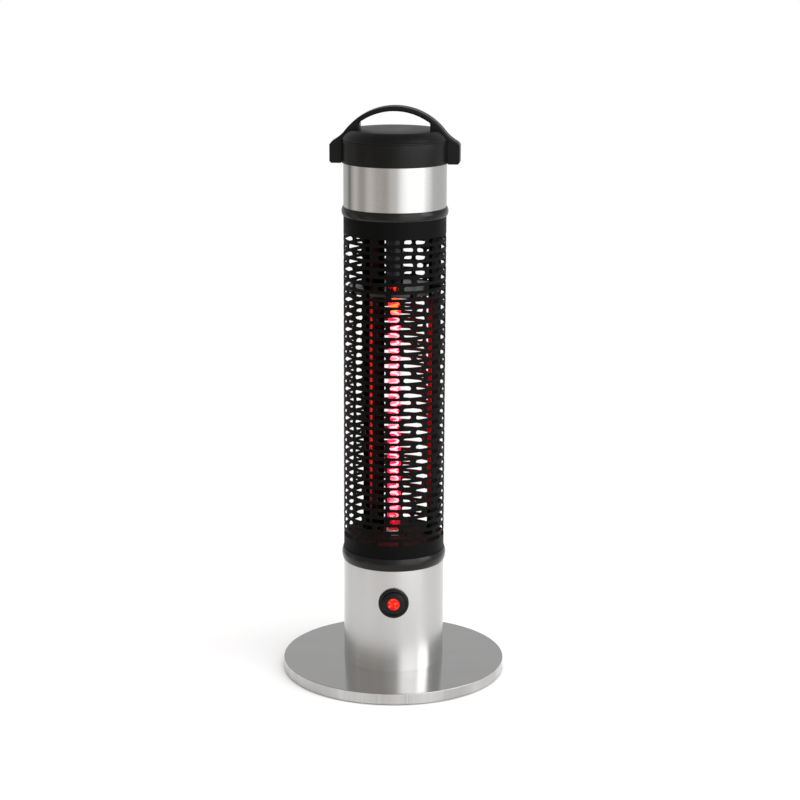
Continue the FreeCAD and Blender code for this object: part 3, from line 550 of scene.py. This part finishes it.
def slot_edge(radius, z, turn, grow):
    """The outline of the slot itself, with round ends."""
    half = SLOT_HALF + grow
    loop = [(-SLOT_REACH + 2 * SLOT_REACH * k / STEPS, half) for k in range(STEPS + 1)]
    for k in range(1, END_STEPS):
        a = math.pi / 2 - math.pi * k / END_STEPS
        loop.append((SLOT_REACH + half * math.cos(a), half * math.sin(a)))
    loop += [(-x, -h) for x, h in loop]
    return [on_tube(radius, x, z + h, turn) for x, h in loop]


def guard_mesh():
    """Every slot with its share of the tube, and a plain end below and above the rows."""
    points = []
    faces = []

    def strip(first, second):
        start = len(points)
        count = len(first)
        points.extend(first)
        points.extend(second)
        for k in range(count):
            j = (k + 1) % count
            faces.append((start + k, start + j, start + count + j, start + count + k))

    inner = TUBE_R - SHEET
    for row in range(ROWS):
        z = FIRST_ROW + row * PITCH
        for k in range(SLOTS):
            turn = PHASE + (row % 2) * 180.0 / SLOTS + k * 360.0 / SLOTS
            loops = [cell_edge(TUBE_R, z, turn), slot_edge(TUBE_R, z, turn, EASED),
                     slot_edge(TUBE_R - EASED, z, turn, 0.0), slot_edge(inner, z, turn, 0.0),
                     cell_edge(inner, z, turn)]
            for a, b in zip(loops, loops[1:]):
                strip(a, b)
    columns = STEPS * SLOTS
    first = FIRST_ROW - PITCH / 2
    last = first + ROWS * PITCH
    for joint, end in ((first, GUARD_LOW), (last, GUARD_HIGH)):
        loops = [[on_tube(r, 0.0, z, PHASE + 360.0 * k / columns) for k in range(columns)]
                 for r, z in ((TUBE_R, joint), (TUBE_R, end), (inner, end), (inner, joint))]
        for a, b in zip(loops, loops[1:]):
            strip(a, b)
    return mesh_of("slotted_guard", points, faces, 2e-6)


finish_mesh("slotted_guard", guard_mesh(), finishes["black_guard"], "heater",
            ["guard_tube"])


# ---------------------------------------------------------------- filament

WIRE_R = 1.1 * MM
COIL_R = 4.3 * MM
TURNS = 40
PER_TURN = 20
LEG = 4.0 * MM             # from an end of the winding to its straight leg
LEG_ENDS = (0.160, 0.466)


def filament_path():
    """A straight leg, a helix that opens and closes within a turn, and a straight leg."""
    path = [Vector((0, 0, LEG_ENDS[0])), Vector((0, 0, COIL_LOW - LEG))]
    total = TURNS * PER_TURN
    for k in range(total + 1):
        swell = min(1.0, k / PER_TURN, (total - k) / PER_TURN)
        a = FULL_TURN * k / PER_TURN
        r = COIL_R * math.sin(swell * math.pi / 2)
        z = COIL_LOW + (COIL_HIGH - COIL_LOW) * k / total
        path.append(Vector((r * math.sin(a), -r * math.cos(a), z)))
    path += [Vector((0, 0, COIL_HIGH + LEG)), Vector((0, 0, LEG_ENDS[1]))]
    return path


finish_mesh("filament_coil", swept("filament_coil", filament_path(), WIRE_R),
            finishes["glowing_coil"], "heater", ["heating_coil"])


# ---------------------------------------------------------------- base and cap

BASE_TOP = 13.3 * MM
RIM_LOW = 0.8 * MM

base = rounded([
    (0, BASE_TOP, 0), (BASE_R, BASE_TOP, 0.7 * MM), (BASE_R, RIM_LOW, 0.3 * MM),
    (BASE_R - SHEET, RIM_LOW, 0.3 * MM), (BASE_R - SHEET, BASE_TOP - SHEET, 0.3 * MM),
    (0, BASE_TOP - SHEET, 0)], 5)
finish_mesh("base_dish", lathe("base_dish", base, 256), base_steel, "heater",
            ["base_cover"])

CAP_R = 59.65 * MM
CAP_LOW = 587.3 * MM
SEAM = 612.0 * MM
LID_R = CAP_R - 0.2 * MM
LID_FLAT_R = 50.0 * MM
LID_WALL_TOP = 613.0 * MM
LID_EDGE = 623.2 * MM
LID_TOP = 623.9 * MM
WALL = 2.4 * MM
SKIRT_BORE = TUBE_R + 0.05 * MM
CAP_FLOOR = (592.3 * MM, 594.5 * MM)
SEAM_FILLET = 0.35 * MM

skirt = rounded([
    (SKIRT_BORE, CAP_LOW, 0.5 * MM), (CAP_R, CAP_LOW, 0.8 * MM), (CAP_R, SEAM, SEAM_FILLET),
    (SKIRT_BORE, SEAM, 0.2 * MM), (SKIRT_BORE, CAP_FLOOR[1], 0.5 * MM),
    (0, CAP_FLOOR[1], 0), (0, CAP_FLOOR[0], 0), (SKIRT_BORE, CAP_FLOOR[0], 0)])
finish_mesh("cap_ring", lathe("cap_ring", skirt), finishes["black_plastic"], "heater",
            ["cap_skirt"])


def shoulder_points(steps=14):
    """From the top of the lid's short wall, bulging slightly, in to the flat top."""
    start = Vector((LID_R, LID_WALL_TOP))
    end = Vector((LID_FLAT_R, LID_EDGE))
    bulge = Vector((0.7 * MM, 0.7 * MM)) * 4
    points = []
    for k in range(1, steps):
        way = k / steps
        points.append(start.lerp(end, way) + bulge * way * (1 - way))
    return points


lid = [Vector((0, LID_TOP)), Vector((LID_FLAT_R * 0.6, LID_TOP - 0.05 * MM)),
       Vector((LID_FLAT_R - 1.5 * MM, LID_EDGE + 0.22 * MM)),
       Vector((LID_FLAT_R - 0.4 * MM, LID_EDGE + 0.1 * MM))]
lid += list(reversed(shoulder_points()))
lid += rounded([(LID_R, LID_WALL_TOP + 0.6 * MM, 0), (LID_R, SEAM, SEAM_FILLET),
                (LID_R - WALL, SEAM, 0)])
lid += [Vector((LID_FLAT_R - 2 * MM, LID_EDGE - WALL)), Vector((0, LID_TOP - WALL))]
finish_mesh("cap_top", lathe("cap_top", lid), finishes["black_plastic"], "heater",
            ["cap_lid"])


# ---------------------------------------------------------------- floor, light and camera

FLOOR_R = 0.62
FLOOR_SIDES = 96

floor_paint, _, floor_shader = new_material("floor_paint", grey(0.88), 0.9)
floor_shader.inputs["Specular IOR Level"].default_value = 0.1
floor_points = [(0, 0, 0)]
for k in range(FLOOR_SIDES):
    a = FULL_TURN * k / FLOOR_SIDES
    floor_points.append((FLOOR_R * math.cos(a), FLOOR_R * math.sin(a), 0.0))
floor_faces = [(0, 1 + k, 1 + (k + 1) % FLOOR_SIDES) for k in range(FLOOR_SIDES)]
disc = bpy.data.objects.new("floor", mesh_of("floor", floor_points, floor_faces))
disc.data.materials.append(floor_paint)
bpy.context.scene.collection.objects.link(disc)

world = bpy.data.worlds.new("studio")
bpy.context.scene.world = world
world.use_nodes = True
sky = world.node_tree
sky.nodes.clear()
coord = sky.nodes.new("ShaderNodeTexCoord")
split = sky.nodes.new("ShaderNodeSeparateXYZ")
sky.links.new(coord.outputs["Generated"], split.inputs[0])
front = math_node(sky, "MULTIPLY", split.outputs[1], -1.0)
bearing = math_node(sky, "ARCTAN2", split.outputs[0], front)
place = spread(sky, bearing, 0.0, 1.0, (-math.pi, math.pi))


def at(degrees):
    """Place of a bearing on the walls' colour ramps."""
    return (degrees + 180.0) / 360.0


# Pale walls and soft windows of light, by bearing from the front: the lower part that the upright
# steel mirrors, and the upper part that the base mirrors. The camera itself sees plain white.
BRIGHTEST = 5.0


def lit(level, warm=0.0):
    """A wall colour of a given brightness."""
    return grey(level / BRIGHTEST, warm)


low_walls = colours(sky, place, [
    (0.0, lit(0.60)), (at(-134), lit(0.62)), (at(-122), lit(0.16, 0.04)), (at(-109), lit(0.66, 0.05)),
    (at(-98), lit(0.86, 0.05)), (at(-86), lit(0.46, 0.07)), (at(-74), lit(0.46, 0.07)),
    (at(-63), lit(0.84, 0.06)), (at(-54), lit(0.84, 0.06)), (at(-42), lit(0.58, 0.07)),
    (at(-20), lit(0.50, 0.07)), (at(-9), lit(0.84, 0.05)), (at(2), lit(0.86, 0.03)),
    (at(11), lit(1.4)), (at(32), lit(1.9)), (at(60), lit(2.0)),
    (at(70), lit(1.3)), (at(78), lit(0.85)), (at(96), lit(0.80)), (1.0, lit(0.70))])
high_walls = colours(sky, place, [
    (0.0, lit(0.50)), (at(-128), lit(0.48)), (at(-95), lit(0.55, 0.03)), (at(-25), lit(0.55, 0.05)),
    (at(6), lit(0.85)), (at(22), lit(2.4)), (at(48), lit(2.5)), (at(55), lit(1.9)),
    (at(63), lit(3.6)), (at(84), lit(3.6)), (at(90), lit(0.7)), (at(115), lit(0.52)), (1.0, lit(0.50))])

# How steeply a ray rises: 0 is level, 1 straight up.
above = spread(sky, split.outputs[2], 0.0, 1.0, (-0.03, 0.06))
overhead = spread(sky, split.outputs[2], 0.0, 1.0, (0.55, 0.95))
room = mix(sky, overhead, mix(sky, above, low_walls, high_walls), lit(0.30))
glow = sky.nodes.new("ShaderNodeBackground")
glow.inputs["Strength"].default_value = BRIGHTEST
sky.links.new(room, glow.inputs["Color"])
seen = sky.nodes.new("ShaderNodeBackground")
seen.inputs["Color"].default_value = (1.0, 1.0, 1.0, 1.0)
path = sky.nodes.new("ShaderNodeLightPath")
either = sky.nodes.new("ShaderNodeMixShader")
sky.links.new(path.outputs["Is Camera Ray"], either.inputs[0])
sky.links.new(glow.outputs[0], either.inputs[1])
sky.links.new(seen.outputs[0], either.inputs[2])
out = sky.nodes.new("ShaderNodeOutputWorld")
sky.links.new(either.outputs[0], out.inputs[0])

lamp = bpy.data.lights.new("overhead", "AREA")
lamp.shape = "SQUARE"
lamp.size = 2.4
lamp.energy = 47.0
overhead_light = bpy.data.objects.new("overhead", lamp)
overhead_light.location = (0.0, 0.0, 2.4)
overhead_light.visible_glossy = False
bpy.context.scene.collection.objects.link(overhead_light)

scene = bpy.context.scene
scene.view_settings.view_transform = "Standard"
scene.view_settings.look = "None"

# The photograph's viewpoint, in metres and degrees.
CAMERA_AT = (0, -2.3040, 0.8728)
CAMERA_TURN = -0.1598
CAMERA_DOWN = 13.548
CAMERA_ROLL = 0.2384

camera_data = bpy.data.cameras.new("camera")
camera_data.lens = 94.25
camera_data.sensor_width = 36.0
camera = bpy.data.objects.new("camera", camera_data)
scene.collection.objects.link(camera)
camera.matrix_world = (Matrix.Translation(CAMERA_AT)
                       @ Matrix.Rotation(math.radians(CAMERA_TURN), 4, "Z")
                       @ Matrix.Rotation(math.radians(90 - CAMERA_DOWN), 4, "X")
                       @ Matrix.Rotation(math.radians(CAMERA_ROLL), 4, "Z"))
scene.camera = camera
